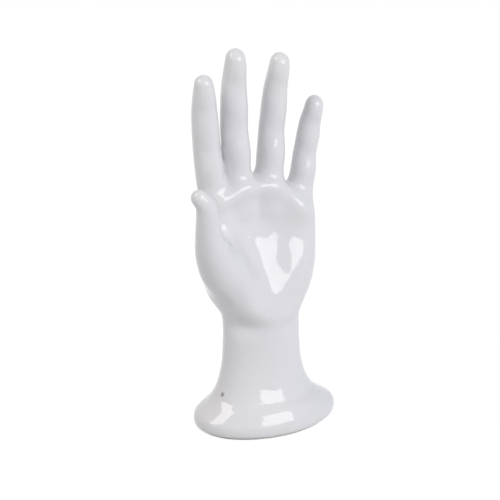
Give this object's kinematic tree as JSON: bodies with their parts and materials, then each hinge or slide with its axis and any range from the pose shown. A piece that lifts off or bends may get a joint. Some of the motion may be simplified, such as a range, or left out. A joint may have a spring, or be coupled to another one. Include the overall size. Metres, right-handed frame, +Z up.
{
  "type": "ceramic hand sculpture",
  "caption": "Upright open left hand of white glazed ceramic on a flared oval foot, weighted inside, with a rubber stopper and a felt pad underneath.",
  "frame": {"origin": "centre of the foot's underside, in the plane of the felt pad that the hand stands on", "axes": "+Z up along the hand, -Y out of the palm, -X towards the thumb, +X towards the little finger"},
  "size_m": [0.1134, 0.0702, 0.251],
  "materials": {
    "white_glaze": "gloss",
    "sand": "matte",
    "grey_rubber": "satin",
    "felt": "matte"
  },
  "bodies": {
    "hand": {"hand_body": "white_glaze", "sand_ballast": "sand", "felt_base_pad": "felt"},
    "stopper": {"pour_hole_stopper": "grey_rubber"}
  },
  "joints": [
    {"name": "stopper_pull", "type": "slide", "parent": "hand", "child": "stopper", "axis": [0, 0, -1], "range_m": [0, 0.015]}
  ]
}
